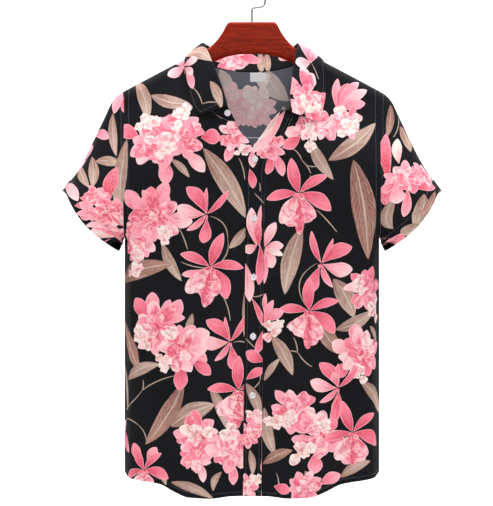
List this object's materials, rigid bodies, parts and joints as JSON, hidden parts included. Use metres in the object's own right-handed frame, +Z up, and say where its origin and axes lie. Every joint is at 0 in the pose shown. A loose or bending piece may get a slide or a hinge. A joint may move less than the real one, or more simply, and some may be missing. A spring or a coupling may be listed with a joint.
{
  "type": "short-sleeved shirt on a hanger",
  "caption": "Short-sleeved button-up shirt with an open collar and a large floral print, hanging on a wooden hanger with a wire hook.",
  "frame": {"origin": "the inside top of the hook, where it rests on its rail", "axes": "+Z up, the shirt's front towards -Y, the wearer's left towards +X"},
  "size_m": [0.634, 0.1218, 0.8625],
  "materials": {
    "printed_cloth": "matt woven cloth, near-black with pink blossoms and taupe leaves",
    "label_cloth": "plain white woven label",
    "pearl": "pearly",
    "red_wood": "glossy red-brown lacquer",
    "polished_wire": "polished"
  },
  "bodies": {
    "root": {"front_right": "printed_cloth", "front_left": "printed_cloth", "button_band": "printed_cloth", "yoke": "printed_cloth", "back": "printed_cloth", "sleeve_right": "printed_cloth", "sleeve_left": "printed_cloth", "cuff_right": "printed_cloth", "cuff_left": "printed_cloth", "collar_stand": "printed_cloth", "collar_fall": "printed_cloth", "neck_label": "label_cloth", "button_collar": "pearl", "button_2": "pearl", "button_3": "pearl", "button_4": "pearl", "button_5": "pearl", "button_6": "pearl", "hanger": "red_wood", "hook": "polished_wire"}
  },
  "joints": []
}
